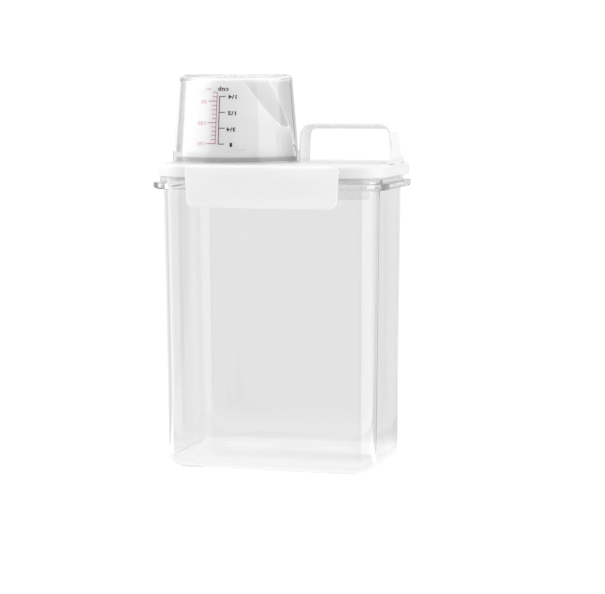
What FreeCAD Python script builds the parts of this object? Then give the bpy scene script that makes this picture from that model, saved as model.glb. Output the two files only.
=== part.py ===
"""Laundry powder dispenser: a clear box with a latched lid, a pouring spout and a measuring cup.

Frame: +Z up, front towards -Y, handle towards +X.  The origin is the middle of the base.
The sizes are the cells of the sheet "Sizes", in millimetres; every sketch and feature is bound to them.
"""

import FreeCAD, Part
import math
import os
import Sketcher

SIZES = (
    # container: a tapered box with rounded corners, moulded in clear plastic
    ("body_length", 135.4),        # outside, along X, measured just under the rim flange
    ("body_depth", 85.8),          # outside, along Y, at the same height
    ("body_corner", 17.2),         # radius of the upright corners there
    ("body_height", 171.0),        # base to the underside of the rim flange
    ("body_draft", 2.2),           # how far each side has drawn in at the base
    ("body_wall", 2.2),
    ("foot_radius", 8.8),          # rounding between walls and base
    ("flange_reach", 6.1),         # rim flange that the latches hook under
    ("flange_thickness", 3.9),
    ("flange_under_radius", 1.6),
    ("flange_top_radius", 0.5),
    ("ledge_reach", 1.9),          # low step on the flange, under the lid's skirt
    ("ledge_height", 3.3),
    ("neck_height", 4.0),          # upright mouth above the ledge, inside the lid's skirt
    # lid: shallow tray with a skirt and an inner wall
    ("lid_left_reach", 2.7),       # outside of the skirt, out from the container's left side
    ("lid_right_reach", 5.3),      # the same at the right
    ("lid_corner_growth", 3.8),    # by how much the lid's corner radius is the larger
    ("lid_height", 7.8),
    ("lid_plate", 2.2),
    ("lid_gap", 0.2),              # between the ledge and the skirt
    ("lid_fit", 0.6),              # between the neck and the skirt
    ("lid_top_radius", 2.4),
    ("lid_under_radius", 0.9),
    ("plug_fit", 1.0),             # between the neck and the lid's inner wall
    ("plug_wall", 1.4),
    ("plug_depth", 8.0),
    ("gasket_fit", 0.1),
    # carrying handle, a band bent into a loop over the right half of the lid
    ("handle_gap", 3.8),           # between the cup's bead and the foot of the left leg
    ("handle_left_lean", 0.8),     # how far each leg leans in over its height
    ("handle_right_lean", 2.7),
    ("handle_rise", 24.1),         # lid to the top of the grip
    ("handle_left_corner", 8.5),
    ("handle_right_corner", 7.5),
    ("handle_depth", 19.5),        # width of the band, along Y
    ("handle_edge", 1.6),          # thickness of the band at its edges
    ("handle_crown", 3.6),         # thickness along its middle
    ("handle_foot_radius", 1.0),   # where the left leg rises from the lid
    ("handle_root", 1.2),          # how deep the legs are merged into the lid
    ("heel_thickness", 2.0),       # web that spreads the right leg into the lid's end
    ("heel_depth", 35.0),
    ("heel_drop", 1.6),            # from the grip's right bend down to the top of the heel
    ("heel_setback", 0.02),        # the heel's outer face, in from the band's
    # latches: one at the front, one at the back, turning on pins in lugs of the lid
    ("latch_inset", 2.9),          # in from each end of the lid's straight side
    ("latch_taper", 1.4),          # how far each end has drawn in at the free edge
    ("latch_wall", 1.5),
    ("latch_gap", 0.3),            # between the flange and the flap
    ("latch_tail", 7.0),           # flap below the hook
    ("latch_corner", 5.0),
    ("latch_edge_radius", 0.8),
    ("hinge_depth", 2.2),          # hinge axis, down from the lid's top
    ("barrel_radius", 1.9),
    ("barrel_gap", 0.5),           # between the skirt and the barrel
    ("pin_radius", 0.6),
    ("pin_fit", 0.1),
    ("pin_end_gap", 0.2),
    ("lug_width", 3.4),
    ("lug_radius", 1.1),           # round end of a lug, in a recess behind the flap
    ("lug_gap", 0.3),
    ("lug_step", 0.1),             # top of a lug's plate, above the hinge axis
    ("hook_inset", 4.4),           # in from each end of the flap's free edge
    ("hook_reach", 3.7),           # how far the hook goes in under the flange
    ("hook_gap", 0.3),
    ("hook_height", 3.2),
    ("hook_tip", 1.1),             # height of the hook at its tip
    # spout, seal and measuring cup share one upright axis
    ("cup_margin", 3.8),           # the cup's bead, in from the container's front and back
    ("cup_inset", 1.3),            # the cup's bead, in from the lid's left end
    ("cup_gap", 0.4),              # between the lid and the cup's mouth
    ("cup_height", 53.4),
    ("cup_taper", 4.4),            # how much narrower the wall's radius is at the closed end
    ("cup_wall", 1.5),
    ("cup_end_thickness", 2.6),
    ("cup_end_round", 3.9),
    ("band_reach", 0.1),           # plain band around the cup's mouth, out from the wall
    ("band_height", 3.4),
    ("groove_depth", 0.05),        # shallow groove above the band, in from the wall
    ("groove_height", 0.6),
    ("bead_reach", 0.1),           # bead above the groove, out from the wall
    ("bead_height", 2.4),
    ("spout_foot_room", 1.6),      # between the cup and the spout, at the foot and at the top
    ("spout_top_room", 3.0),
    ("spout_head_room", 1.0),      # between the cup's closed end and the spout
    ("spout_wall", 1.5),
    ("funnel_rise", 4.6),          # height over which the bore narrows to the sleeve
    ("mouth_start", 13.0),         # where the slanted mouth leaves the level top, right of the axis
    ("mouth_low", 21.3),           # lid to the mouth's level lip
    ("lip_reach", 1.8),            # length of the level lip, in from the wall's outside
    ("collar_reach", 1.1),         # collar around the foot, lying on the lid
    ("collar_thickness", 1.2),
    ("sleeve_inset", 4.0),         # sleeve that passes down through the lid, in from the foot
    ("sleeve_wall", 1.4),
    ("sleeve_fit", 0.1),
    ("snap_gap", 0.1),             # snap rim on the sleeve, under the lid's plate
    ("snap_reach", 0.4),
    ("snap_height", 1.6),
    ("nub_fit", 0.4),              # four nubs that steady the cup, clear of its wall
    ("nub_low", 8.2),
    ("nub_high", 10.8),
    ("nub_chamfer", 0.5),
    ("nub_angle", 9.0),
    ("nub_turn", 23.0),            # the nubs' places, turned from the part's X and Y axes
    ("seal_gap", 0.6),             # between the seal and the cup's mouth
    ("seal_height", 2.6),
    ("seal_fit", 0.1),
    # shared by several pieces
    ("small_round", 0.4),          # rounding of small moulded edges
    ("weld", 0.3),                 # how deep a small feature is sunk into the wall that carries it
    ("cut_margin", 5.0),           # how far a cutting outline runs past the solid
)

# heights above the base
FLANGE_TOP = "(Sizes.body_height + Sizes.flange_thickness)"
LEDGE_TOP = f"({FLANGE_TOP} + Sizes.ledge_height)"
NECK_TOP = f"({LEDGE_TOP} + Sizes.neck_height)"
LID_BASE = f"({LEDGE_TOP} + Sizes.lid_gap)"
LID_TOP = f"({LID_BASE} + Sizes.lid_height)"
PLATE_BASE = f"({LID_TOP} - Sizes.lid_plate)"
HINGE_LEVEL = f"({LID_TOP} - Sizes.hinge_depth)"

# the latches hang just outside the flange, and the lid's sides stay just inside their barrels
LATCH_FACE = "(Sizes.body_depth / 2 + Sizes.flange_reach + Sizes.latch_gap + Sizes.latch_wall)"
HINGE_PLACE = f"({LATCH_FACE} - Sizes.barrel_radius)"
LID_SIDE = f"({HINGE_PLACE} - Sizes.barrel_radius - Sizes.barrel_gap)"
LID_LEFT = "(Sizes.body_length / 2 + Sizes.lid_left_reach)"
LID_RIGHT = "(Sizes.body_length / 2 + Sizes.lid_right_reach)"
LID_MIDDLE = f"(({LID_RIGHT} - {LID_LEFT}) / 2)"
LID_CORNER = "(Sizes.body_corner + Sizes.lid_corner_growth)"
LATCH_TOP = f"({LID_LEFT} + {LID_RIGHT} - 2 * {LID_CORNER} - 2 * Sizes.latch_inset)"
LATCH_BOTTOM = f"({LATCH_TOP} - 2 * Sizes.latch_taper)"
BARREL_HALF = f"({LATCH_TOP} / 2 - Sizes.lug_width - 2 * Sizes.lug_gap)"
HOOK_TOP = f"(Sizes.body_height - Sizes.hook_gap - {HINGE_LEVEL})"
LATCH_END = f"({HOOK_TOP} - Sizes.hook_height - Sizes.latch_tail)"

# the cup's bead almost reaches the lid's left end, the spout fits in the cup, the handle stands beside it
BEAD_RADIUS = "(Sizes.body_depth / 2 - Sizes.cup_margin)"
CUP_MOUTH = f"({BEAD_RADIUS} - Sizes.bead_reach)"
CUP_END = f"({CUP_MOUTH} - Sizes.cup_taper)"
CUP_BORE = f"({CUP_MOUTH} - Sizes.cup_wall)"
SPOUT_AXIS = f"({BEAD_RADIUS} - {LID_LEFT} + Sizes.cup_inset)"
SPOUT_FOOT = f"({CUP_BORE} - Sizes.spout_foot_room)"
SPOUT_TOP = f"({CUP_END} - Sizes.cup_wall - Sizes.spout_top_room)"
SPOUT_RISE = "(Sizes.cup_gap + Sizes.cup_height - Sizes.cup_end_thickness - Sizes.spout_head_room)"
SLEEVE_RADIUS = f"({SPOUT_FOOT} - Sizes.sleeve_inset)"
SEAL_RADIUS = f"({CUP_BORE} - Sizes.seal_gap)"
HANDLE_LEFT = f"({SPOUT_AXIS} + {BEAD_RADIUS} + Sizes.handle_gap)"

# how a sketch's constraints name points: the sketch's origin, and a curve's start, end and centre
ORIGIN = (-1, 1)
X_AXIS = -1
START, END, CENTRE = 1, 2, 3

# two positions closer than this count as the same, when faces and edges are picked out
CLOSE = 0.01

doc = FreeCAD.newDocument("PowderDispenser")
sheet = doc.addObject("Spreadsheet::Sheet", "Sizes")
for row, (alias, number) in enumerate(SIZES, start=1):
    sheet.set(f"A{row}", alias)
    sheet.set(f"B{row}", str(number))
    sheet.setAlias(f"B{row}", alias)
doc.recompute()


# ---------------------------------------------------------------- sketching and feature helpers

def value(expression):
    """The present value of an expression, as a plain number."""
    result = sheet.evalExpression(str(expression))
    return float(getattr(result, "Value", result))


def new_body(name):
    """An empty body whose label is the node's name."""
    body = doc.addObject("PartDesign::Body", name)
    body.Label = name
    return body


def origin_feature(body, role):
    """One of a body's own origin planes or axes."""
    return next(item for item in body.Origin.OriginFeatures if item.Role == role)


def new_sketch(body, name, role="XY_Plane", offset=None):
    """A sketch on one of the body's own origin planes, moved along the plane's normal."""
    sketch = body.newObject("Sketcher::SketchObject", name)
    sketch.AttachmentSupport = [(origin_feature(body, role), "")]
    sketch.MapMode = "FlatFace"
    if offset is not None:
        sketch.setExpression("AttachmentOffset.Base.z", offset)
    return sketch


def constrain(sketch, kind, *references):
    """A geometric constraint."""
    sketch.addConstraint(Sketcher.Constraint(kind, *references))


def dimension(sketch, name, kind, references, expression):
    """A driving constraint bound to an expression of the sheet's cells."""
    index = sketch.addConstraint(Sketcher.Constraint(kind, *references, value(expression)))
    sketch.renameConstraint(index, name)
    sketch.setExpression(f"Constraints.{name}", str(expression))


def closed_profile(sketch, corners, prefix="corner"):
    """A closed outline of straight lines; each corner is a pair of expressions."""
    points = [FreeCAD.Vector(value(x), value(y), 0) for x, y in corners]
    first = sketch.GeometryCount
    count = len(points)
    for i in range(count):
        sketch.addGeometry(Part.LineSegment(points[i], points[(i + 1) % count]), False)
    for i, (x, y) in enumerate(corners):
        constrain(sketch, "Coincident", first + i, END, first + (i + 1) % count, START)
        dimension(sketch, f"{prefix}{i}_across", "DistanceX", (*ORIGIN, first + i, START), x)
        dimension(sketch, f"{prefix}{i}_up", "DistanceY", (*ORIGIN, first + i, START), y)


def circle(sketch, name, radius, across="0", up="0"):
    """A circle placed by expressions."""
    centre = FreeCAD.Vector(value(across), value(up), 0)
    index = sketch.addGeometry(Part.Circle(centre, FreeCAD.Vector(0, 0, 1), value(radius)), False)
    dimension(sketch, f"{name}_radius", "Radius", (index,), radius)
    dimension(sketch, f"{name}_across", "DistanceX", (*ORIGIN, index, CENTRE), across)
    dimension(sketch, f"{name}_up", "DistanceY", (*ORIGIN, index, CENTRE), up)


def rounded_rectangle(sketch, left, right, half_depth, corner, prefix="outline"):
    """A rectangle with equal round corners; left, right and half_depth are measured from the origin."""
    low_x = -value(left)
    high_x = value(right)
    half = value(half_depth)
    radius = value(corner)
    up = FreeCAD.Vector(0, 0, 1)
    first = sketch.GeometryCount
    centres = ((high_x - radius, half - radius), (low_x + radius, half - radius),
               (low_x + radius, radius - half), (high_x - radius, radius - half))
    for i, (x, y) in enumerate(centres):
        full = Part.Circle(FreeCAD.Vector(x, y, 0), up, radius)
        sketch.addGeometry(Part.ArcOfCircle(full, i * math.pi / 2, (i + 1) * math.pi / 2), False)
    for i in range(4):
        start = sketch.Geometry[first + i].EndPoint
        end = sketch.Geometry[first + (i + 1) % 4].StartPoint
        sketch.addGeometry(Part.LineSegment(start, end), False)
    for i in range(4):
        line = first + 4 + i
        constrain(sketch, "Tangent", first + i, END, line, START)
        constrain(sketch, "Tangent", line, END, first + (i + 1) % 4, START)
        constrain(sketch, "Horizontal" if i % 2 == 0 else "Vertical", line)
    for i in range(1, 4):
        constrain(sketch, "Equal", first, first + i)
    dimension(sketch, f"{prefix}_corner", "Radius", (first,), corner)
    dimension(sketch, f"{prefix}_right", "DistanceX", (*ORIGIN, first, START), right)
    dimension(sketch, f"{prefix}_left", "DistanceX", (first + 1, END, *ORIGIN), left)
    dimension(sketch, f"{prefix}_back", "DistanceY", (*ORIGIN, first, END), half_depth)
    dimension(sketch, f"{prefix}_front", "DistanceY", (first + 2, END, *ORIGIN), half_depth)


def box_outline(sketch, grow, prefix="outline"):
    """The container's rounded rectangle, grown outwards by an expression (negative draws it in)."""
    half_length = f"Sizes.body_length / 2 + {grow}"
    half_depth = f"Sizes.body_depth / 2 + {grow}"
    rounded_rectangle(sketch, half_length, half_length, half_depth, f"Sizes.body_corner + {grow}", prefix)


def extrude(body, kind, name, sketch, length=None, symmetric=False, reverse=False):
    """A Pad or a Pocket of a sketch; a Pocket with no length goes right through."""
    feature = body.newObject(f"PartDesign::{kind}", name)
    feature.Profile = sketch
    if length is None:
        feature.Type = "ThroughAll"
    else:
        feature.setExpression("Length", length)
    if symmetric:
        feature.SideType = "Symmetric"
    feature.Reversed = reverse
    doc.recompute()
    return feature


def revolve(body, name, sketch, angle=None):
    """A solid turned about the body's upright axis: right round, or centred over an angle."""
    feature = body.newObject("PartDesign::Revolution", name)
    feature.Profile = sketch
    feature.ReferenceAxis = (sketch, ["V_Axis"])
    if angle is not None:
        feature.Midplane = True
        feature.setExpression("Angle", angle)
    doc.recompute()
    return feature


def fillet(body, name, radius, belongs):
    """Round those edges of the body's last feature for which belongs(edge) is true."""
    base = body.Tip
    names = [f"Edge{i}" for i, edge in enumerate(base.Shape.Edges, start=1) if belongs(edge)]
    if not names:
        raise RuntimeError(f"{name}: no edge to round")
    feature = body.newObject("PartDesign::Fillet", name)
    feature.Base = (base, names)
    feature.setExpression("Radius", radius)
    doc.recompute()
    return feature


def face_names(feature, belongs):
    """The names of those faces of a feature for which belongs(face) is true."""
    return [f"Face{i}" for i, face in enumerate(feature.Shape.Faces, start=1) if belongs(face)]


def level_edge(edge, level):
    """True for an edge that lies level at this height."""
    box = edge.BoundBox
    return abs(box.ZMin - level) < CLOSE and abs(box.ZMax - level) < CLOSE


def on_rim(edge):
    """True for an edge of the rim flange's outer outline."""
    if hasattr(edge.Curve, "Radius"):
        return abs(edge.Curve.Radius - value("Sizes.body_corner + Sizes.flange_reach")) < CLOSE
    centre = edge.CenterOfMass
    half_length = value("Sizes.body_length / 2 + Sizes.flange_reach")
    half_depth = value("Sizes.body_depth / 2 + Sizes.flange_reach")
    return abs(abs(centre.x) - half_length) < CLOSE or abs(abs(centre.y) - half_depth) < CLOSE


# ---------------------------------------------------------------- container

def build_container():
    """One clear moulding: tapered box, rim flange for the latches, ledge and neck for the lid."""
    body = new_body("container")
    shoulder = new_sketch(body, "ShoulderOutline", offset="Sizes.body_height")
    box_outline(shoulder, "0")
    block = extrude(body, "Pad", "Block", shoulder, "Sizes.body_height", reverse=True)
    top = value("Sizes.body_height")

    taper = body.newObject("PartDesign::Draft", "Taper")
    taper.Base = (block, face_names(block, lambda face: face.BoundBox.ZLength > top / 2))
    taper.NeutralPlane = (block, face_names(block, lambda face: face.BoundBox.ZMin > top - CLOSE))
    taper.setExpression("Angle", "atan(Sizes.body_draft / Sizes.body_height)")
    doc.recompute()
    if taper.Shape.Volume > block.Shape.Volume:
        taper.Reversed = True
        doc.recompute()
    rounded = fillet(body, "FootRound", "Sizes.foot_radius", lambda edge: level_edge(edge, 0))

    shell = body.newObject("PartDesign::Thickness", "Shell")
    shell.Base = (rounded, face_names(rounded, lambda face: face.BoundBox.ZMin > top - CLOSE))
    shell.setExpression("Value", "Sizes.body_wall")
    shell.Reversed = True
    shell.Join = "Intersection"
    doc.recompute()

    for name, grow, level, height in (
            ("Flange", "Sizes.flange_reach", "Sizes.body_height", "Sizes.flange_thickness"),
            ("Ledge", "Sizes.ledge_reach", FLANGE_TOP, "Sizes.ledge_height"),
            ("Neck", "0", LEDGE_TOP, "Sizes.neck_height")):
        ring = new_sketch(body, f"{name}Outline", offset=level)
        box_outline(ring, grow, "outer")
        box_outline(ring, "(0 - Sizes.body_wall)", "inner")
        extrude(body, "Pad", name, ring, height)

    flange_top = value(FLANGE_TOP)
    mouth = value(NECK_TOP)
    fillet(body, "FlangeUnderRound", "Sizes.flange_under_radius", lambda edge: (
        level_edge(edge, top) and on_rim(edge)))
    fillet(body, "FlangeTopRound", "Sizes.flange_top_radius", lambda edge: (
        level_edge(edge, flange_top) and on_rim(edge)))
    fillet(body, "MouthRound", "Sizes.small_round", lambda edge: level_edge(edge, mouth))
    return body


# ---------------------------------------------------------------- lid with handle

def build_lid():
    """One white moulding: plate, skirt, inner wall, hinge lugs and the carrying handle."""
    body = new_body("lid")
    outline = new_sketch(body, "SkirtOutline", offset=LID_BASE)
    rounded_rectangle(outline, LID_LEFT, LID_RIGHT, LID_SIDE, LID_CORNER)
    extrude(body, "Pad", "Block", outline, "Sizes.lid_height")
    top = value(LID_TOP)
    base = value(LID_BASE)
    fillet(body, "TopRound", "Sizes.lid_top_radius", lambda edge: level_edge(edge, top))
    fillet(body, "UnderRound", "Sizes.lid_under_radius", lambda edge: level_edge(edge, base))

    hollow = new_sketch(body, "SkirtInside", offset=LID_BASE)
    box_outline(hollow, "Sizes.lid_fit")
    extrude(body, "Pocket", "Hollow", hollow, "Sizes.lid_height - Sizes.lid_plate", reverse=True)

    plug = new_sketch(body, "InnerWallOutline", offset=PLATE_BASE)
    box_outline(plug, "(0 - Sizes.body_wall - Sizes.plug_fit)", "outer")
    box_outline(plug, "(0 - Sizes.body_wall - Sizes.plug_fit - Sizes.plug_wall)", "inner")
    extrude(body, "Pad", "InnerWall", plug, "Sizes.plug_depth", reverse=True)

    hole = new_sketch(body, "SpoutHoleOutline", offset=LID_TOP)
    circle(hole, "hole", f"{SLEEVE_RADIUS} + Sizes.sleeve_fit", SPOUT_AXIS)
    extrude(body, "Pocket", "SpoutHole", hole)

    add_hinge_lugs(body)
    add_band(body)
    add_heel(body)
    return body


def add_hinge_lugs(body):
    """Four lugs, two at the front of the skirt and two at the back, each with a bore for a latch pin.

    Each is a low plate with a round end, so that the flap's rounded top can swing over it.
    """
    place = f"{LID_MIDDLE} - {LATCH_TOP} / 2 + Sizes.lug_gap"
    plates = new_sketch(body, "LugPlateOutline", "YZ_Plane", place)
    ends = new_sketch(body, "LugEndOutline", "YZ_Plane", place)
    bores = new_sketch(body, "LugBoreOutline", "YZ_Plane", place)
    low = f"({HINGE_LEVEL} - Sizes.barrel_radius)"
    high = f"({HINGE_LEVEL} + Sizes.lug_step)"
    for name, side in (("front", -1), ("back", 1)):
        axis = f"{side} * {HINGE_PLACE}"
        root = f"{side} * (Sizes.body_depth / 2 + Sizes.lid_fit + Sizes.weld)"
        closed_profile(plates, ((root, low), (axis, low), (axis, high), (root, high)), name)
        circle(ends, name, "Sizes.lug_radius", axis, HINGE_LEVEL)
        circle(bores, name, "Sizes.pin_radius + Sizes.pin_fit", axis, HINGE_LEVEL)
    lugs = [extrude(body, "Pad", "LugPlates", plates, "Sizes.lug_width"),
            extrude(body, "Pad", "LugEnds", ends, "Sizes.lug_width"),
            extrude(body, "Pocket", "LugBores", bores, "Sizes.lug_width", reverse=True)]
    pair = body.newObject("PartDesign::LinearPattern", "LugPairs")
    pair.Originals = lugs
    pair.Direction = (origin_feature(body, "X_Axis"), [""])
    pair.Occurrences = 2
    pair.setExpression("Length", f"{LATCH_TOP} - 2 * Sizes.lug_gap - Sizes.lug_width")
    body.Tip = pair
    doc.recompute()


def draw_band_section(sketch):
    """The band's section at the left leg: flat outer face, rounded edges, crowned inner face."""
    outer = value(HANDLE_LEFT)
    edge = value("Sizes.handle_edge")
    crown = value("Sizes.handle_crown")
    half_depth = "(Sizes.handle_depth - Sizes.handle_edge) / 2"
    half = value(half_depth)
    up = FreeCAD.Vector(0, 0, 1)
    front = Part.Circle(FreeCAD.Vector(outer + edge / 2, -half, 0), up, edge / 2)
    back = Part.Circle(FreeCAD.Vector(outer + edge / 2, half, 0), up, edge / 2)
    outside = [FreeCAD.Vector(outer, half, 0), FreeCAD.Vector(outer, -half, 0)]
    inside = [FreeCAD.Vector(outer + edge, -half, 0), FreeCAD.Vector(outer + crown, 0, 0),
              FreeCAD.Vector(outer + edge, half, 0)]
    face_line, front_arc, crown_arc, back_arc = range(4)
    sketch.addGeometry(Part.LineSegment(*outside), False)
    sketch.addGeometry(Part.ArcOfCircle(front, math.pi, 2 * math.pi), False)
    sketch.addGeometry(Part.Arc(*inside), False)
    sketch.addGeometry(Part.ArcOfCircle(back, 0, math.pi), False)
    constrain(sketch, "Tangent", face_line, END, front_arc, START)
    constrain(sketch, "Coincident", front_arc, END, crown_arc, START)
    constrain(sketch, "Coincident", crown_arc, END, back_arc, START)
    constrain(sketch, "Tangent", back_arc, END, face_line, START)
    constrain(sketch, "Equal", front_arc, back_arc)
    constrain(sketch, "Symmetric", face_line, START, face_line, END, X_AXIS)
    constrain(sketch, "Horizontal", face_line, END, front_arc, END)
    constrain(sketch, "Horizontal", face_line, START, back_arc, START)
    dimension(sketch, "outer", "DistanceX", (*ORIGIN, face_line, START), HANDLE_LEFT)
    dimension(sketch, "half_depth", "DistanceY", (*ORIGIN, face_line, START), half_depth)
    dimension(sketch, "edge_radius", "Radius", (front_arc,), "Sizes.handle_edge / 2")
    swell = "(Sizes.handle_crown - Sizes.handle_edge)"
    crown_radius = f"(({half_depth}) * ({half_depth}) + {swell} * {swell}) / (2 * {swell})"
    dimension(sketch, "crown_radius", "Radius", (crown_arc,), crown_radius)


def draw_band_route(sketch, root_level):
    """The loop's outer face, seen from the front: up the left leg, along the grip, down the right."""
    grip_level = f"{LID_TOP} + Sizes.handle_rise"
    low = value(root_level)
    high = value(grip_level)
    left_corner = FreeCAD.Vector(value(f"{HANDLE_LEFT} + Sizes.handle_left_lean"), high, 0)
    right_corner = FreeCAD.Vector(value(f"{LID_RIGHT} - Sizes.handle_right_lean"), high, 0)
    left_foot = FreeCAD.Vector(value(HANDLE_LEFT), low, 0)
    right_foot = FreeCAD.Vector(value(LID_RIGHT), low, 0)
    sketch.addGeometry(Part.LineSegment(left_foot, left_corner), False)
    sketch.addGeometry(Part.LineSegment(left_corner, right_corner), False)
    sketch.addGeometry(Part.LineSegment(right_corner, right_foot), False)
    constrain(sketch, "Coincident", 0, END, 1, START)
    constrain(sketch, "Coincident", 1, END, 2, START)
    down = FreeCAD.Vector(0, -1, 0)
    right = FreeCAD.Vector(1, 0, 0)
    left_bend = value("Sizes.handle_left_corner")
    right_bend = value("Sizes.handle_right_corner")
    sketch.fillet(0, 1, left_corner + down, left_corner + right, left_bend, True, True)
    sketch.fillet(1, 2, right_corner - right, right_corner + down, right_bend, True, True)
    left_line, grip_line, right_line, left_arc, left_point, right_arc, right_point = range(7)
    constrain(sketch, "Horizontal", grip_line)
    dimension(sketch, "left_foot_across", "DistanceX", (*ORIGIN, left_line, START), HANDLE_LEFT)
    dimension(sketch, "left_foot_up", "DistanceY", (*ORIGIN, left_line, START), root_level)
    left_lean = (left_line, START, left_point, START)
    dimension(sketch, "left_lean", "DistanceX", left_lean, "Sizes.handle_left_lean")
    dimension(sketch, "grip_up", "DistanceY", (*ORIGIN, left_point, START), grip_level)
    dimension(sketch, "right_foot_across", "DistanceX", (*ORIGIN, right_line, END), LID_RIGHT)
    dimension(sketch, "right_foot_up", "DistanceY", (*ORIGIN, right_line, END), root_level)
    right_lean = (right_point, START, right_line, END)
    dimension(sketch, "right_lean", "DistanceX", right_lean, "Sizes.handle_right_lean")
    dimension(sketch, "left_bend", "Radius", (left_arc,), "Sizes.handle_left_corner")
    dimension(sketch, "right_bend", "Radius", (right_arc,), "Sizes.handle_right_corner")


def add_band(body):
    """The handle's loop: a crowned band swept along both legs and the grip."""
    root_level = f"({LID_TOP} - Sizes.handle_root)"
    section = new_sketch(body, "BandSection", offset=root_level)
    draw_band_section(section)
    route = new_sketch(body, "BandRoute", "XZ_Plane")
    draw_band_route(route, root_level)
    band = body.newObject("PartDesign::AdditivePipe", "Band")
    band.Profile = section
    band.Spine = (route, [])
    band.Mode = "Standard"
    doc.recompute()

    top = value(LID_TOP)
    leg_low = value(f"{HANDLE_LEFT} - Sizes.handle_root")
    leg_high = value(f"{HANDLE_LEFT} + Sizes.handle_crown + Sizes.handle_root")
    fillet(body, "LegRound", "Sizes.handle_foot_radius", lambda edge: (
        level_edge(edge, top) and leg_low < edge.BoundBox.XMin and edge.BoundBox.XMax < leg_high))


def add_heel(body):
    """A web that spreads the right leg into the lid's end, its sides hollow curves, steepest on top."""
    steps = 5
    hollowness = 2.5
    rise = "(Sizes.handle_rise - Sizes.handle_right_corner - Sizes.heel_drop)"
    lean = "Sizes.handle_right_lean / (Sizes.handle_rise + Sizes.handle_root)"
    leg_depth = "(Sizes.handle_depth - Sizes.handle_edge)"
    sections = []
    for step in range(steps + 1):
        share = (1 - step / steps) ** hollowness
        height = f"{rise} * {step / steps}"
        outer = f"({LID_RIGHT} - {lean} * (Sizes.handle_root + {height}) - Sizes.heel_setback)"
        inner = f"({outer} - Sizes.heel_thickness)"
        half = f"(({leg_depth} + {share} * (Sizes.heel_depth - {leg_depth})) / 2)"
        outline = new_sketch(body, f"HeelSection{step}", offset=f"{LID_TOP} + {height}")
        closed_profile(outline, (
            (inner, f"0 - {half}"), (outer, f"0 - {half}"), (outer, half), (inner, half)))
        sections.append(outline)
    heel = body.newObject("PartDesign::AdditiveLoft", "Heel")
    heel.Profile = sections[0]
    heel.Sections = sections[1:]
    doc.recompute()


# ---------------------------------------------------------------- gasket

def build_gasket():
    """Soft ring on the neck's edge, held in the channel between the lid's skirt and inner wall."""
    body = new_body("lid_gasket")
    ring = new_sketch(body, "RingOutline", offset=NECK_TOP)
    box_outline(ring, "Sizes.lid_fit - Sizes.gasket_fit", "outer")
    box_outline(ring, "(0 - Sizes.body_wall - Sizes.plug_fit + Sizes.gasket_fit)", "inner")
    extrude(body, "Pad", "Ring", ring, f"{PLATE_BASE} - {NECK_TOP}")
    return body


# ---------------------------------------------------------------- latches

def cut_lug_recesses(body):
    """Hollow out both ends of the barrel for the lid's lugs, leaving a rounded skin at the front."""
    behind = "(Sizes.latch_wall - Sizes.barrel_radius)"
    reach = "Sizes.cut_margin"
    bed = new_sketch(body, "RecessBedOutline", "YZ_Plane", BARREL_HALF)
    circle(bed, "bed", "Sizes.lug_radius + Sizes.lug_gap")
    back = new_sketch(body, "RecessBackOutline", "YZ_Plane", BARREL_HALF)
    closed_profile(back, (
        ("0", "0"), (f"0 - {reach}", reach), (reach, reach), (reach, f"0 - {reach}"),
        (behind, f"0 - {reach}"), (behind, "0")))
    end_width = f"{LATCH_TOP} / 2 - {BARREL_HALF} + {reach}"
    recesses = [extrude(body, "Pocket", "RecessBed", bed, end_width, reverse=True),
                extrude(body, "Pocket", "RecessBack", back, end_width, reverse=True)]
    pair = body.newObject("PartDesign::Mirrored", "RecessPair")
    pair.Originals = recesses
    pair.MirrorPlane = (origin_feature(body, "YZ_Plane"), [""])
    body.Tip = pair
    doc.recompute()


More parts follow.
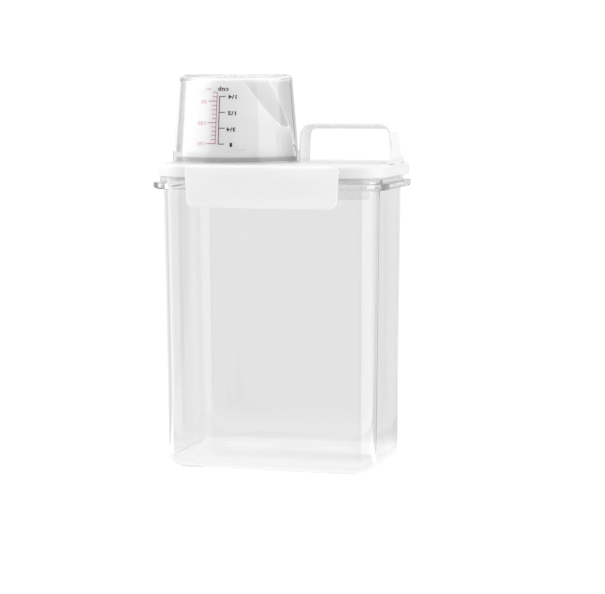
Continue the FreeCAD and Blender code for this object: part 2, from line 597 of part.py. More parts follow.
def build_latch(name, side):
    """A white flap that hangs on two pins and hooks under the rim flange.

    It is drawn as the front one, about its hinge axis; side is -1 for the front and 1 for the back.
    """
    body = new_body(name)
    half_top = f"{LATCH_TOP} / 2"
    half_bottom = f"{LATCH_BOTTOM} / 2"
    flap = new_sketch(body, "FlapOutline", "XZ_Plane", "Sizes.barrel_radius - Sizes.latch_wall")
    closed_profile(flap, ((f"0 - {half_top}", "0"), (f"0 - {half_bottom}", LATCH_END),
                          (half_bottom, LATCH_END), (half_top, "0")))
    extrude(body, "Pad", "Flap", flap, "Sizes.latch_wall")
    low = value(LATCH_END)
    thick = value("Sizes.latch_wall")
    fillet(body, "FlapCorners", "Sizes.latch_corner", lambda edge: (
        edge.BoundBox.ZMax < low + CLOSE and abs(edge.BoundBox.YLength - thick) < CLOSE))
    face = -value("Sizes.barrel_radius")
    fillet(body, "FlapEdges", "Sizes.latch_edge_radius", lambda edge: (
        abs(edge.BoundBox.YMin - face) < CLOSE and abs(edge.BoundBox.YMax - face) < CLOSE
        and not level_edge(edge, 0)))

    barrel = new_sketch(body, "BarrelOutline", "YZ_Plane")
    circle(barrel, "barrel", "Sizes.barrel_radius")
    barrel_length = f"{LATCH_TOP} - 2 * Sizes.latch_edge_radius"
    extrude(body, "Pad", "Barrel", barrel, barrel_length, symmetric=True)
    cut_lug_recesses(body)
    pin = new_sketch(body, "PinOutline", "YZ_Plane")
    circle(pin, "pin", "Sizes.pin_radius")
    pin_length = f"{LATCH_TOP} - 2 * (Sizes.lug_gap + Sizes.pin_end_gap)"
    extrude(body, "Pad", "Pins", pin, pin_length, symmetric=True)

    hook = new_sketch(body, "HookOutline", "YZ_Plane")
    root = "(Sizes.latch_wall - Sizes.barrel_radius - Sizes.weld)"
    tip = "(Sizes.latch_wall - Sizes.barrel_radius + Sizes.hook_reach)"
    closed_profile(hook, ((root, HOOK_TOP), (tip, HOOK_TOP), (tip, f"{HOOK_TOP} - Sizes.hook_tip"),
                          (root, f"{HOOK_TOP} - Sizes.hook_height")))
    extrude(body, "Pad", "Hook", hook, f"{LATCH_BOTTOM} - 2 * Sizes.hook_inset", symmetric=True)

    body.setExpression("Placement.Base.x", LID_MIDDLE)
    body.setExpression("Placement.Base.y", f"{side} * {HINGE_PLACE}")
    body.setExpression("Placement.Base.z", HINGE_LEVEL)
    if side > 0:
        body.Placement.Rotation = FreeCAD.Rotation(FreeCAD.Vector(0, 0, 1), 180)
    doc.recompute()
    return body


# ---------------------------------------------------------------- spout, seal and measuring cup

def place_on_spout_axis(body):
    """Spout, seal and cup are drawn about the Z axis from the lid's top, then moved to their place."""
    body.setExpression("Placement.Base.x", SPOUT_AXIS)
    body.setExpression("Placement.Base.z", LID_TOP)
    doc.recompute()


def spout_radius(level):
    """Outside radius of the tapered spout wall at a height above the lid, as an expression."""
    taper = f"({SPOUT_FOOT} - {SPOUT_TOP}) / ({SPOUT_RISE} - Sizes.collar_thickness)"
    return f"({SPOUT_FOOT} - {taper} * ({level} - Sizes.collar_thickness))"


def cup_radius(level):
    """Outside radius of the cup's tapered wall at a height above the lid, as an expression."""
    return f"({CUP_MOUTH} - Sizes.cup_taper / Sizes.cup_height * ({level} - Sizes.cup_gap))"


def build_spout():
    """White insert clicked into the lid: sleeve and snap rim below, collar and pouring tube above."""
    body = new_body("spout")
    profile = new_sketch(body, "WallProfile", "XZ_Plane")
    bore = f"({SLEEVE_RADIUS} - Sizes.sleeve_wall)"
    snap = f"({SLEEVE_RADIUS} + Sizes.snap_reach)"
    collar = f"({SPOUT_FOOT} + Sizes.collar_reach)"
    under = "(0 - Sizes.lid_plate - Sizes.snap_gap)"
    closed_profile(profile, (
        (bore, f"{under} - Sizes.snap_height"), (SLEEVE_RADIUS, f"{under} - Sizes.snap_height"),
        (snap, f"{under} - Sizes.snap_height / 2"), (snap, under), (SLEEVE_RADIUS, under),
        (SLEEVE_RADIUS, "0"), (collar, "0"), (collar, "Sizes.collar_thickness"),
        (SPOUT_FOOT, "Sizes.collar_thickness"), (SPOUT_TOP, SPOUT_RISE),
        (f"{SPOUT_TOP} - Sizes.spout_wall", SPOUT_RISE),
        (f"{spout_radius('Sizes.funnel_rise')} - Sizes.spout_wall", "Sizes.funnel_rise"), (bore, "0")))
    revolve(body, "Wall", profile)

    # the cut runs down the slant from the level top, then level out through the wall
    cut = new_sketch(body, "MouthOutline", "XZ_Plane")
    lip = f"({spout_radius('Sizes.mouth_low')} - Sizes.lip_reach)"
    run = f"(({lip} - Sizes.mouth_start) / ({SPOUT_RISE} - Sizes.mouth_low))"
    above = f"({SPOUT_RISE} + Sizes.cut_margin)"
    beside = f"({SPOUT_FOOT} + Sizes.cut_margin)"
    closed_profile(cut, ((f"Sizes.mouth_start - Sizes.cut_margin * {run}", above),
                         (lip, "Sizes.mouth_low"), (beside, "Sizes.mouth_low"), (beside, above)))
    extrude(body, "Pocket", "Mouth", cut, f"2 * {SPOUT_FOOT}", symmetric=True)

    nub = new_sketch(body, "NubOutline", "XZ_Plane")
    nub.AttachmentOffset = FreeCAD.Placement(FreeCAD.Vector(), FreeCAD.Rotation(FreeCAD.Vector(0, 1, 0), 1))
    nub.setExpression("AttachmentOffset.Rotation.Angle", "Sizes.nub_turn")
    root = f"({spout_radius('Sizes.nub_high')} - Sizes.weld)"
    face = f"({cup_radius('Sizes.nub_high')} - Sizes.cup_wall - Sizes.nub_fit)"
    closed_profile(nub, ((root, "Sizes.nub_low"), (face, "Sizes.nub_low + Sizes.nub_chamfer"),
                         (face, "Sizes.nub_high - Sizes.nub_chamfer"), (root, "Sizes.nub_high")))
    first = revolve(body, "Nub", nub, "Sizes.nub_angle")
    ring = body.newObject("PartDesign::PolarPattern", "Nubs")
    ring.Originals = [first]
    ring.Axis = (origin_feature(body, "Z_Axis"), [""])
    ring.Angle = 360
    ring.Occurrences = 4
    body.Tip = ring
    place_on_spout_axis(body)
    return body


def build_seal():
    """Soft ring around the foot of the spout, lying on its collar."""
    body = new_body("cup_seal")
    profile = new_sketch(body, "RingProfile", "XZ_Plane")
    inner = f"({SPOUT_FOOT} + Sizes.seal_fit)"
    top = "(Sizes.collar_thickness + Sizes.seal_height)"
    closed_profile(profile, ((inner, "Sizes.collar_thickness"), (SEAL_RADIUS, "Sizes.collar_thickness"),
                             (SEAL_RADIUS, top), (inner, top)))
    revolve(body, "Ring", profile)
    outer = value(SEAL_RADIUS)
    fillet(body, "RingRound", "Sizes.small_round", lambda edge: (
        abs(edge.BoundBox.XMax - outer) < CLOSE and edge.BoundBox.ZLength < CLOSE))
    place_on_spout_axis(body)
    return body


def build_cup():
    """Clear cup standing mouth down over the spout, with a plain band, groove and bead around its mouth."""
    body = new_body("measuring_cup")
    profile = new_sketch(body, "WallProfile", "XZ_Plane")
    band = f"({CUP_MOUTH} + Sizes.band_reach)"
    groove = f"({CUP_MOUTH} - Sizes.groove_depth)"
    band_top = "(Sizes.cup_gap + Sizes.band_height)"
    groove_top = f"({band_top} + Sizes.groove_height)"
    bead_top = f"({groove_top} + Sizes.bead_height)"
    end = "(Sizes.cup_gap + Sizes.cup_height)"
    inner_end = f"({end} - Sizes.cup_end_thickness)"
    closed_profile(profile, (
        ("0", end), ("0", inner_end), (f"{cup_radius(inner_end)} - Sizes.cup_wall", inner_end),
        (CUP_BORE, "Sizes.cup_gap"), (band, "Sizes.cup_gap"), (band, band_top), (groove, band_top),
        (groove, groove_top), (BEAD_RADIUS, groove_top), (BEAD_RADIUS, bead_top),
        (cup_radius(bead_top), bead_top), (CUP_END, end)))
    revolve(body, "Wall", profile)
    outside = value(end)
    inside = value(inner_end)
    fillet(body, "EndRound", "Sizes.cup_end_round", lambda edge: level_edge(edge, outside))
    fillet(body, "InnerEndRound", "Sizes.cup_end_round - Sizes.cup_wall", lambda edge: (
        level_edge(edge, inside)))
    place_on_spout_axis(body)
    return body


# ---------------------------------------------------------------- build, check and write

bodies = (
    build_container(),
    build_lid(),
    build_gasket(),
    build_latch("front_latch", -1),
    build_latch("rear_latch", 1),
    build_spout(),
    build_seal(),
    build_cup(),
)
doc.recompute()
for item in doc.Objects:
    if "Invalid" in item.State or "Error" in item.State:
        raise RuntimeError(f"{item.Name} failed: {item.State}")
for body in bodies:
    if body.Shape.isNull() or not body.Shape.isValid():
        raise RuntimeError(f"{body.Label} has no valid shape")

os.makedirs("parts", exist_ok=True)
for body in bodies:
    body.Shape.exportStep(f"parts/{body.Label}.step")
    print(body.Label, len(body.Shape.Solids), "solid", round(body.Shape.Volume / 1000, 2), "cm3")
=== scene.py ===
"""Laundry powder dispenser: its finishes and printed scales, with a table, light and a camera."""

import math

import bpy
from mathutils import Matrix, Vector


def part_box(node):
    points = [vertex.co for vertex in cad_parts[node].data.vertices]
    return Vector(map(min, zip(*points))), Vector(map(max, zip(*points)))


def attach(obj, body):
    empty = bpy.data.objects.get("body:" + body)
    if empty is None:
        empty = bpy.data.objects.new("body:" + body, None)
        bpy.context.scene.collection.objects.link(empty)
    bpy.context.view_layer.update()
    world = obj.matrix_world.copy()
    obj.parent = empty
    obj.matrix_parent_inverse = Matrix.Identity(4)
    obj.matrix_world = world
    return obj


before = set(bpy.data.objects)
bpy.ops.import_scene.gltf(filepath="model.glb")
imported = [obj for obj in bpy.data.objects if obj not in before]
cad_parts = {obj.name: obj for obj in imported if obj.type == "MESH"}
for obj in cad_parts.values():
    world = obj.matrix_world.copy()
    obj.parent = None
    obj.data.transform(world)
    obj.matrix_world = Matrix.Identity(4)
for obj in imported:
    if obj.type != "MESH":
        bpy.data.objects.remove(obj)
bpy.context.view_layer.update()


# ---------------------------------------------------------------- container
# The deep tapered box that holds the powder, with its rim flange, ledge and neck.
# It is injection-moulded in one piece in clear styrene, in a mould polished inside and out.

def linear(code):
    """A colour written as sRGB hex, as linear red, green, blue and alpha."""
    channels = [int(code[i:i + 2], 16) / 255 for i in (1, 3, 5)]
    return [c / 12.92 if c <= 0.04045 else ((c + 0.055) / 1.055) ** 2.4 for c in channels] + [1.0]


def node(tree, kind, settings=None, **inputs):
    """Add one node. Settings are its properties; inputs go in by name, or by number as _number.

    An input is a value, another node's socket, or a node, which stands for its first output in use.
    """
    made = tree.nodes.new("ShaderNode" + kind)
    for name, setting in (settings or {}).items():
        setattr(made, name, setting)
    for name, given in inputs.items():
        into = made.inputs[int(name[1:])] if name[1:].isdigit() else made.inputs[name.replace("_", " ")]
        if isinstance(given, bpy.types.Node):
            given = next(output for output in given.outputs if output.enabled)
        if isinstance(given, bpy.types.NodeSocket):
            tree.links.new(given, into)
        else:
            into.default_value = given
    return made


def bare_material(name):
    """A material with nothing in its node tree yet, and that tree."""
    material = bpy.data.materials.new(name)
    material.use_nodes = True
    material.node_tree.nodes.clear()
    return material, material.node_tree


def clear_styrene(name, tint, ior, painted_glow):
    """Clear styrene with the faint waves of a moulded wall and a few patches rubbed by handling.

    The last argument is a painted glow, as (times, strength): the wall emits light where a ray has met
    it so many times, standing in for light that runs along inside the wall and comes out of it.
    Lamps shine straight through the wall, so that what is inside is lit.
    """
    rubbed_mm = 9                        # about a fingertip
    wave_mm, wave_depth_mm = 45, 0.002   # slow waves that cooling leaves in a flat wall
    material, tree = bare_material(name)
    place = node(tree, "TexCoord").outputs["Object"]
    # a pattern's scale is how many of its patches there are in a metre; these are taller than wide
    upright = node(tree, "VectorMath", {"operation": "MULTIPLY"}, _0=place, _1=(1, 1, 0.4))
    rubbed = node(tree, "TexNoise", Vector=upright, Scale=1000 / rubbed_mm, Detail=4)
    dull = node(tree, "MapRange", Value=rubbed, From_Min=0.55, From_Max=0.8, To_Min=0.0, To_Max=0.035)
    drawn_down = node(tree, "VectorMath", {"operation": "MULTIPLY"}, _0=place, _1=(1, 1, 0.3))
    waves = node(tree, "TexNoise", Vector=drawn_down, Scale=1000 / wave_mm, Detail=1)
    uneven = node(tree, "Bump", Height=waves, Distance=wave_depth_mm / 1000, Strength=1.0)
    path = node(tree, "LightPath")
    # painted glow, no lamp: the wall emits light where a ray has met it so many times
    glow = 0.0
    for times, strength in painted_glow:
        met = node(tree, "Math", {"operation": "COMPARE"},
                   _0=path.outputs["Ray Depth"], _1=times, _2=0.5)
        glow = node(tree, "Math", {"operation": "MULTIPLY_ADD"}, _0=met, _1=strength, _2=glow)
    wall = node(tree, "BsdfPrincipled", Base_Color=linear(tint), Transmission_Weight=1.0, IOR=ior,
                Roughness=dull, Normal=uneven, Emission_Color=linear(tint), Emission_Strength=glow)
    through = node(tree, "BsdfTransparent", Color=linear(tint))
    lit_through = node(tree, "MixShader", _0=path.outputs["Is Shadow Ray"], _1=wall, _2=through)
    node(tree, "OutputMaterial", Surface=lit_through)
    return material


def finish_with(piece, material):
    """Give a piece one material on all its faces."""
    piece.data.materials.clear()
    piece.data.materials.append(material)


# Polished styrene: a wall all but vanishes where the eye looks straight through it, and gathers
# into grey and white lines at the corners, the rim and the base, where the eye looks along it.
# Styrene bends light by 1.59, and a little less keeps those lines as fine as they are on the box.
# The white lines come partly from the wall's bends and partly from a painted glow: light the wall emits
# where a ray has met it 10 and 30 times.
finish_with(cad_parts["container"],
            clear_styrene("clear_styrene_polished", "#FAFAFA", ior=1.56,
                          painted_glow=((10.0, 0.08), (30.0, 0.22))))


# ---------------------------------------------------------------- lid and handle
# The cover of the box: plate, skirt, hinge lugs and carrying handle, injection-moulded in one piece in
# white polypropylene. It goes over the container's neck, and the two latches pull it down there.

def milky_plastic(name, light, dark, let_through, skin_mm=0.35, roughness=(0.30, 0.42), painted_lighter_above=None):
    """Milky plastic or rubber: flow marks in two close tones, a fine skin, and light from behind.

    roughness is that of the smoothest and of the dullest patch. The last argument, if given, is a level
    and a tone: above that level the tone is painted lighter, partly for a thick moulding looking whiter
    and partly as painted light.
    """
    flow_mm = 38            # the length of a flow mark
    handled_mm = 7          # smoother and duller patches, as fingers leave
    skin_depth_mm = 0.005
    blend_mm = 3            # over which a thin moulding passes into a thick one
    ior = 1.49              # polypropylene's; silicone has 1.41, but is too dull to look different
    material, tree = bare_material(name)
    place = node(tree, "TexCoord").outputs["Object"]
    # flow marks lie flat, the way the resin ran, and are less than half as tall as they are long
    flat = node(tree, "VectorMath", {"operation": "MULTIPLY"}, _0=place, _1=(1, 1, 2.2))
    flow = node(tree, "TexNoise", Vector=flat, Scale=1000 / flow_mm, Detail=3)
    # nearly all of a pattern's values lie between 0.3 and 0.7
    share = node(tree, "MapRange", Value=flow, From_Min=0.3, From_Max=0.7)
    tone = node(tree, "Mix", {"data_type": "RGBA"}, _0=share, _6=linear(light), _7=linear(dark))
    # painted light: above the level the tone is painted lighter
    if painted_lighter_above:
        level, white = painted_lighter_above
        height = node(tree, "SeparateXYZ", Vector=place).outputs["Z"]
        above = node(tree, "MapRange", {"interpolation_type": "SMOOTHSTEP"}, Value=height,
                     From_Min=level, From_Max=level + blend_mm / 1000)
        tone = node(tree, "Mix", {"data_type": "RGBA"}, _0=above, _6=tone, _7=linear(white))
    handled = node(tree, "TexNoise", Vector=place, Scale=1000 / handled_mm, Detail=3)
    dull = node(tree, "MapRange", Value=handled, From_Min=0.3, From_Max=0.7,
                To_Min=roughness[0], To_Max=roughness[1])
    grain = node(tree, "TexNoise", Vector=place, Scale=1000 / skin_mm, Detail=1)
    skin = node(tree, "Bump", Height=grain, Distance=skin_depth_mm / 1000, Strength=1.0)
    surface = node(tree, "BsdfPrincipled", Base_Color=tone, Roughness=dull, IOR=ior, Normal=skin)
    behind = node(tree, "BsdfTranslucent", Color=tone)
    milky = node(tree, "MixShader", _0=let_through, _1=surface, _2=behind)
    node(tree, "OutputMaterial", Surface=milky)
    return material


# Satin polypropylene: an even soft white with no sharp glints. Up in the solid handle it is painted a
# shade whiter, partly for the thick moulding looking whiter and partly as painted light.
# The mould's satin is about 0.1 mm fine, and its grain is drawn at 0.35 mm so that it shows.
cup_low, cup_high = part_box("measuring_cup")
handle_starts = cup_low[2] + 0.001   # the cup's mouth stands just clear of the lid's plate
finish_with(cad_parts["lid"],
            milky_plastic("white_polypropylene_satin", "#EDEDED", "#E8E8E8", let_through=0.04,
                          painted_lighter_above=(handle_starts, "#F2F2F2")))


# ---------------------------------------------------------------- latches
# Two flaps, front and rear, injection-moulded in the same white polypropylene as the lid.
# Each turns on two small pins in the lid's lugs and hooks under the container's flange.

# Thin polypropylene: the same satin, but a flap glows a little, because light comes through it.
# Its tone is painted a shade lighter than the lid's: painted light on the flaps.
latch_plastic = milky_plastic("white_polypropylene_satin_thin", "#FBFBFB", "#F8F8F8", let_through=0.4)
finish_with(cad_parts["front_latch"], latch_plastic)
finish_with(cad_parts["rear_latch"], latch_plastic)


# ---------------------------------------------------------------- spout
# The slant-cut tube that the powder is poured through, seen only through the cup.
# It is a separate insert, moulded thin in white polypropylene and clicked into the lid's hole.

# Thin polypropylene again: a soft white tube whose open slant is a clean, slightly darker shape.
finish_with(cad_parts["spout"],
            milky_plastic("white_polypropylene_satin_insert", "#F3F3F3", "#EFEFEF", let_through=0.35))


# ---------------------------------------------------------------- seals
# Two soft rings moulded in silicone. The gasket is pressed into the lid's channel and closes on the
# edge of the container's neck, and the cup seal sits around the spout's foot, inside the cup's mouth.

# Milky silicone: dull and faintly cloudy, with a dusty bloom in patches of 0.6 mm.
finish_with(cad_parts["lid_gasket"],
            milky_plastic("milky_silicone_moulded", "#E9EBEB", "#DFE1E1", let_through=0.3,
                          skin_mm=0.6, roughness=(0.5, 0.7)))
# Silicone as dull but hardly milky, in a grey that is a painted dark reflection: the cup's mouth has
# a plain grey band in it, where its thick clear rim shows dark reflections.
finish_with(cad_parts["cup_seal"],
            milky_plastic("silicone_moulded_grey_painted_reflection", "#ACAFB0", "#A1A4A6", let_through=0.1,
                          skin_mm=0.6, roughness=(0.5, 0.7)))


# ---------------------------------------------------------------- measuring cup
# The cup that measures the powder and closes the spout, injection-moulded in clear styrene, thinner
# than the container. It stands mouth down over the spout, where small nubs keep it centred.

# Polished styrene: clearer than the container, with bright upright bands at the sides and a pale,
# glassy edge around the closed end. That edge is partly a painted glow: light the wall emits where a
# ray has met it 8 and 30 times.
finish_with(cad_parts["measuring_cup"],
            clear_styrene("clear_styrene_polished_thin", "#FDFDFD", ior=1.54,
                          painted_glow=((8.0, 0.07), (30.0, 0.2))))


# ---------------------------------------------------------------- printed scales
# Two scales screen-printed on the outside of the cup: millilitres in pink, parts of a cup in brown
# and black. They read upright when the cup stands on its closed end, so here they are upside down.

mm = 0.001
bead_mm, ink_mm = 0.1, 0.05        # the mouth's bead stands proud of the wall, and so does the ink
taper = 4.4 / 53.4                 # how fast the wall draws in from the mouth to the closed end
axis_x = (cup_low[0] + cup_high[0]) / 2
mouth_radius = (cup_high[0] - cup_low[0]) / 2 - bead_mm * mm
mouth_level = cup_low[2]


def on_cup(around, up):
    """A point on the outside of the cup: mm around from its front, and mm up from its mouth."""
    radius = mouth_radius - taper * up * mm + ink_mm * mm
    turn = around * mm / radius
    return (axis_x + radius * math.sin(turn), -radius * math.cos(turn), mouth_level + up * mm)


def screen_ink(name, dense, thin):
    """Screen-printing ink: a film in two close tones, patchy where less of it came through the mesh."""
    patch_mm = 0.8   # the mesh is about 0.1 mm fine, and is drawn coarser so that it shows
    material, tree = bare_material(name)
    place = node(tree, "TexCoord").outputs["Object"]
    patches = node(tree, "TexNoise", Vector=place, Scale=1000 / patch_mm, Detail=3)
    share = node(tree, "MapRange", Value=patches, From_Min=0.3, From_Max=0.7)
    tone = node(tree, "Mix", {"data_type": "RGBA"}, _0=share, _6=linear(dense), _7=linear(thin))
    dull = node(tree, "MapRange", Value=patches, From_Min=0.3, From_Max=0.7, To_Min=0.35, To_Max=0.55)
    film = node(tree, "BsdfPrincipled", Base_Color=tone, Roughness=dull)
    node(tree, "OutputMaterial", Surface=film)
    return material


def print_on_cup(name, faces, ink):
    """One printed piece from flat faces, each a list of corners in mm around and up the cup."""
    corners = [on_cup(around, up) for face in faces for around, up in face]
    numbers = iter(range(len(corners)))
    mesh = bpy.data.meshes.new(name)
    mesh.from_pydata(corners, [], [[next(numbers) for _ in face] for face in faces])
    piece = bpy.data.objects.new(name, mesh)
    bpy.context.scene.collection.objects.link(piece)
    finish_with(piece, ink)
    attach(piece, "cup")


def part_way(start, end, share):
    """The point a share of the way along a straight line."""
    return start[0] + (end[0] - start[0]) * share, start[1] + (end[1] - start[1]) * share


def stroke(start, end, width, steps=6):
    """A straight line of ink as a row of four-cornered faces, so that it can follow the cup."""
    length = math.dist(start, end)
    side = ((start[1] - end[1]) / length * width / 2, (end[0] - start[0]) / length * width / 2)
    faces = []
    for i in range(steps):
        (x0, z0), (x1, z1) = part_way(start, end, i / steps), part_way(start, end, (i + 1) / steps)
        faces.append([(x0 - side[0], z0 - side[1]), (x1 - side[0], z1 - side[1]),
                      (x1 + side[0], z1 + side[1]), (x0 + side[0], z0 + side[1])])
    return faces


def figures(lines):
    """Plain figures turned upside down, as flat faces.

    Each line gives its text and then, in mm, its height, its width, its middle, and how much bolder
    it is than the plain font.
    """
    faces = []
    for text, height, width, middle, bolder in lines:
        curve = bpy.data.curves.new("figures", "FONT")
        curve.body = text
        curve.size = height * 1.42      # a capital of the plain font is 0.7 of its size
        curve.align_x = "CENTER"
        curve.offset = bolder
        curve.resolution_u = 3
        curve.space_character = 1.12    # set a little apart, to stay clear when small
        carrier = bpy.data.objects.new("figures", curve)
        flat = bpy.data.meshes.new_from_object(carrier)
        across = [vertex.co.x for vertex in flat.vertices]
        squeeze = width / (max(across) - min(across))
        centre = (max(across) + min(across)) / 2
        corners = [(middle[0] - (vertex.co.x - centre) * squeeze, middle[1] + height / 2 - vertex.co.y)
                   for vertex in flat.vertices]
        faces += [[corners[i] for i in polygon.vertices] for polygon in flat.polygons]
        bpy.data.objects.remove(carrier)
        bpy.data.curves.remove(curve)
        bpy.data.meshes.remove(flat)
    return faces


# The millilitre scale has a stroke for every 10 ml from 30 to 150, and a longer one at 50, 100 and 150.
# The cup widens towards its mouth, so the strokes draw together a little on the way there.
first_ml, last_ml = (-0.26, 42.6), (-1.07, 11.8)
strokes = stroke(first_ml, last_ml, width=0.42, steps=24)
for volume in range(30, 151, 10):
    share = (volume - 30) / 120
    x, z = part_way(first_ml, last_ml, 1.035 * share - 0.035 * share * share)
    reach, width = (2.7, 0.34) if volume % 50 else (5.5, 0.42)
    strokes += stroke((x, z), (x - reach, z), width)
# Pink ink: fine clear lines, a little lighter in places.
print_on_cup("millilitre_scale", strokes, screen_ink("screen_printed_ink_pink", "#A23C62", "#B4557A"))
# Thinner pink ink: smaller figures that stay pale beside the lines.
print_on_cup("millilitre_figures",
             figures((("50", 2.3, 3.6, (-9.06, 36.9), -0.02), ("100", 2.3, 5.2, (-10.45, 24.0), -0.02),
                      ("150", 2.3, 5.2, (-10.7, 11.8), -0.02), ("ml", 1.7, 3.3, (-6.0, 44.3), -0.02))),
             screen_ink("screen_printed_ink_light_pink", "#B8607F", "#C4748F"))

# The other scale has four strokes, for a quarter, a half, three quarters and a whole cup.
quarter_cup, whole_cup, reach = (1.22, 40.1), (0.84, 11.6), 3.7
strokes = stroke(quarter_cup, whole_cup, width=0.55, steps=24)
for share in (0, 1 / 3, 2 / 3, 1):
    x, z = part_way(quarter_cup, whole_cup, share)
    strokes += stroke((x, z), (x + reach, z), width=0.52)
# Brown ink: strokes a shade softer than black.
print_on_cup("cup_scale", strokes, screen_ink("screen_printed_ink_brown", "#46262F", "#5A3842"))
# Black ink: bold figures, the darkest thing on the dispenser.
print_on_cup("cup_figures",
             figures((("1/4", 2.2, 5.0, (9.1, 39.8), 0.13), ("1/2", 2.2, 5.1, (8.9, 30.0), 0.13),
                      ("3/4", 2.2, 5.5, (8.55, 20.3), 0.13), ("1", 2.4, 1.5, (8.65, 11.1), 0.07),
                      ("cup", 2.4, 6.6, (3.4, 43.9), 0.12))),
             screen_ink("screen_printed_ink_black", "#150A0D", "#281A1E"))


# ---------------------------------------------------------------- table
# What the dispenser stands on: a matt white table top that runs back without an edge into a white
# wall. It glows with its own painted light, so evenly that it has next to no shadow, and isn't part of
# the object.

def light_around(tree, direction, dim, stretches):
    """How bright the studio is by heading: dim all round, and brighter in each stretch.

    A stretch gives the headings that it runs from and to, in degrees from the back towards the right,
    how far it fades out before and after them, and how much light it adds.
    """
    apart = node(tree, "SeparateXYZ", Vector=direction)
    turn = node(tree, "Math", {"operation": "ARCTAN2"}, _0=apart.outputs["X"], _1=apart.outputs["Y"])
    heading = node(tree, "Math", {"operation": "DEGREES"}, _0=turn)
    bright = dim
    for start, end, before, after, added in stretches:
        grows = node(tree, "MapRange", {"interpolation_type": "SMOOTHSTEP"}, Value=heading,
                     From_Min=start - before, From_Max=start)
        fades = node(tree, "MapRange", {"interpolation_type": "SMOOTHSTEP"}, Value=heading,
                     From_Min=end + after, From_Max=end)
        inside = node(tree, "Math", {"operation": "MULTIPLY"}, _0=grows, _1=fades)
        bright = node(tree, "Math", {"operation": "MULTIPLY_ADD"}, _0=inside, _1=added, _2=bright)
    return bright


# Matt white board: an even white ground. To the eye it is the same all over; what the clear walls show
# of it is painted light that it emits itself: bright close to the box and, further out, painted pools
# of light under the lights on each side.
white_board, tree = bare_material("white_board_matt_painted")
path = node(tree, "LightPath")
place = node(tree, "NewGeometry").outputs["Position"]
board = light_around(tree, place, dim=0.12, stretches=(
    (-50, 12, 10, 4, 0.785),      # before the white wall
    (-90, -60, 10, 10, 0.6),      # left of it
    (16, 60, 4, 8, 0.58),         # right of it
    (70, 118, 8, 8, 1.4),         # under the right softbox
    (-135, -90, 8, 15, 0.9),      # under the left softbox
    (136, 181, 10, 1, 0.4),       # in front, right of the middle
    (-181, -155, 1, 10, 0.4)))    # in front, left of the middle
# painted light: close to the box the board glows bright all round, and under it altogether
board_by_box = 0.97
from_box = node(tree, "VectorMath", {"operation": "LENGTH"}, _0=place)
around_box = node(tree, "MapRange", {"interpolation_type": "SMOOTHSTEP"}, Value=from_box,
                  From_Min=0.3, From_Max=0.06)
around_box = node(tree, "Math", {"operation": "MULTIPLY"}, _0=around_box, _1=board_by_box)
under_box = node(tree, "MapRange", {"interpolation_type": "SMOOTHSTEP"}, Value=from_box,
                 From_Min=0.12, From_Max=0.08)
board = node(tree, "Math", {"operation": "MAXIMUM"}, _0=board, _1=around_box)
board = node(tree, "Mix", {"data_type": "FLOAT"}, _0=under_box, _2=board, _3=board_by_box)
# the white pieces gather an even light from it, and the eye sees it just past white
for_white_pieces, for_the_eye = 0.95, 1.06
soft = node(tree, "Math", {"operation": "GREATER_THAN"}, _0=path.outputs["Diffuse Depth"], _1=0.5)
board = node(tree, "Mix", {"data_type": "FLOAT"}, _0=soft, _2=board, _3=for_white_pieces)
board = node(tree, "Mix", {"data_type": "FLOAT"}, _0=path.outputs["Is Camera Ray"], _2=board,
             _3=for_the_eye)
white = node(tree, "Emission", Strength=board, Color=linear("#FFFFFF"))
# a small share of plain matt board under the lamps leaves the dispenser a faint shadow
matt = node(tree, "BsdfPrincipled", Base_Color=linear("#F6F6F6"), Roughness=0.9, Specular_IOR_Level=0.0)
shadow = node(tree, "Math", {"operation": "MULTIPLY"}, _0=path.outputs["Is Camera Ray"], _1=0.08)
evenly_lit = node(tree, "MixShader", _0=shadow, _1=white, _2=matt)
node(tree, "OutputMaterial", Surface=evenly_lit)
white_board.cycles.emission_sampling = "NONE"

far = 12.0
sunk = -0.0003   # just clear of the box's flat bottom
floor_mesh = bpy.data.meshes.new("floor")
floor_mesh.from_pydata([(-far, -far, sunk), (far, -far, sunk), (far, far, sunk), (-far, far, sunk)],
                       [], [(0, 1, 2, 3)])
floor = bpy.data.objects.new("floor", floor_mesh)
bpy.context.scene.collection.objects.link(floor)
finish_with(floor, white_board)


# ---------------------------------------------------------------- light
# A white studio: a bright wall behind, a tall softbox on each side, a broad light above and a soft
# fill in front. Between these the room is dim, so that the flat clear walls stay an even grey.

world = bpy.data.worlds.new("studio")
bpy.context.scene.world = world
world.use_nodes = True
tree = world.node_tree
tree.nodes.clear()
path = node(tree, "LightPath")
place = node(tree, "TexCoord").outputs["Generated"]
height = node(tree, "SeparateXYZ", Vector=place).outputs["Z"]
# what the clear walls show of the room
room = light_around(tree, place, dim=0.22, stretches=(
    (-44, -24, 14, 16, 0.26),     # the middle of the white wall
    (-44, -20, 14, 80, 0.5),      # the wall, fading away to the right
    (-133, -82, 27, 8, 1.9),      # left softbox
    (68, 117, 3, 5, 1.15),        # right softbox
    (140, 181, 14, 1, 0.4),       # in front, right of the middle
    (-181, -170, 1, 7, 0.4)))     # in front, left of the middle
# just above eye level the broad light overhead takes over
overhead = node(tree, "MapRange", {"interpolation_type": "SMOOTHSTEP"}, Value=height,
                From_Min=0.03, From_Max=0.2)
room = node(tree, "Math", {"operation": "MAXIMUM"}, _0=room, _1=overhead)
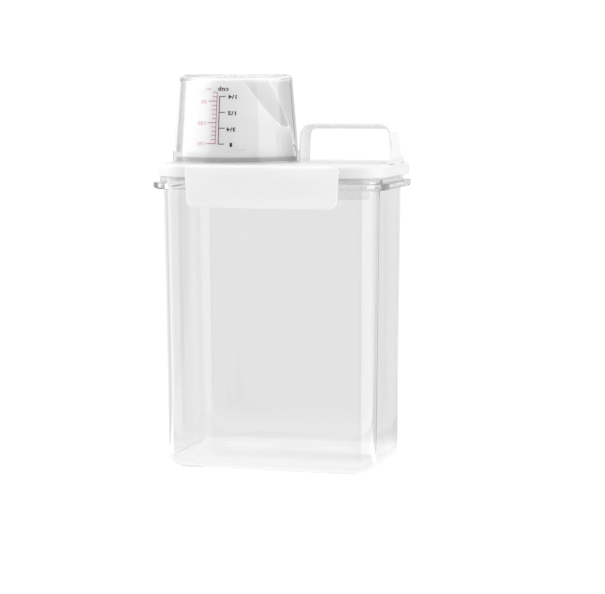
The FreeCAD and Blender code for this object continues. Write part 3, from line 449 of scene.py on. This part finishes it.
# what the white pieces gather is softer: more from the back and the sides, but less from the very
# middle of the back, and a little more again from above
gathered = light_around(tree, place, dim=0.48, stretches=(
    (-100, 130, 30, 20, 0.8),
    (-50, 50, 30, 30, -0.3)))
high_up = node(tree, "MapRange", {"interpolation_type": "SMOOTHSTEP"}, Value=height,
               From_Min=0.3, From_Max=0.8)
gathered = node(tree, "Math", {"operation": "MULTIPLY_ADD"}, _0=high_up, _1=0.25, _2=gathered)
soft = node(tree, "Math", {"operation": "GREATER_THAN"}, _0=path.outputs["Diffuse Depth"], _1=0.5)
studio = node(tree, "Mix", {"data_type": "FLOAT"}, _0=soft, _2=room, _3=gathered)
for_the_eye = 1.05   # just past white, like the table
studio = node(tree, "Mix", {"data_type": "FLOAT"}, _0=path.outputs["Is Camera Ray"], _2=studio,
              _3=for_the_eye)
backdrop = node(tree, "Background", Strength=studio, Color=linear("#FFFFFF"))
node(tree, "OutputWorld", Surface=backdrop)
world.cycles.sampling_method = "NONE"


def soft_light(name, heading, rise, distance, width, power):
    """A square soft light that looks at the middle of the dispenser; clear walls don't show it.

    It stands at a heading, in degrees, that many degrees up and metres away, and gives power in watts.
    """
    lamp = bpy.data.lights.new(name, "AREA")
    lamp.shape = "SQUARE"
    lamp.size = width
    lamp.energy = power
    holder = bpy.data.objects.new(name, lamp)
    bpy.context.scene.collection.objects.link(holder)
    around, up = math.radians(heading), math.radians(rise)
    away = Vector((math.sin(around) * math.cos(up), math.cos(around) * math.cos(up), math.sin(up)))
    middle = Vector((0, 0, 0.12))
    holder.matrix_world = (Matrix.Translation(away * distance + middle)
                           @ away.to_track_quat("Z", "Y").to_matrix().to_4x4())
    holder.visible_glossy = False
    holder.visible_transmission = False


soft_light("left_softbox", heading=-108, rise=12, distance=1.4, width=0.9, power=7)
soft_light("right_softbox", heading=92, rise=12, distance=1.4, width=0.8, power=1.8)
soft_light("front_fill", heading=165, rise=20, distance=1.8, width=1.4, power=3.7)

scene = bpy.context.scene
scene.view_settings.view_transform = "Standard"
# light that runs along inside a clear wall meets its faces many times before it comes out
scene.cycles.max_bounces = 64
scene.cycles.transmission_bounces = 48
scene.cycles.glossy_bounces = 48
scene.cycles.diffuse_bounces = 10
scene.cycles.transparent_max_bounces = 48
scene.cycles.blur_glossy = 0.0


# ---------------------------------------------------------------- camera
# A long lens at 1.4 m, a little to the right of the front and a little above, so that upright
# edges stay nearly parallel.

stands_at = (0.39347, -1.3114, 0.2426)
yaw, pitch, roll = (math.radians(angle) for angle in (16.211, 5.831, -0.223))
camera_data = bpy.data.cameras.new("camera")
camera_data.sensor_width = 36.0
camera_data.lens = 132.56
camera_data.clip_start = 0.01
camera_data.clip_end = 100.0
camera = bpy.data.objects.new("camera", camera_data)
scene.collection.objects.link(camera)
back = Vector((math.sin(yaw) * math.cos(pitch), -math.cos(yaw) * math.cos(pitch), math.sin(pitch)))
level_right = Vector((math.cos(yaw), math.sin(yaw), 0))
level_up = back.cross(level_right)
right = level_right * math.cos(roll) + level_up * math.sin(roll)
up = level_up * math.cos(roll) - level_right * math.sin(roll)
turned = Matrix((right, up, back)).transposed().to_4x4()
camera.matrix_world = Matrix.Translation(stands_at) @ turned
scene.camera = camera
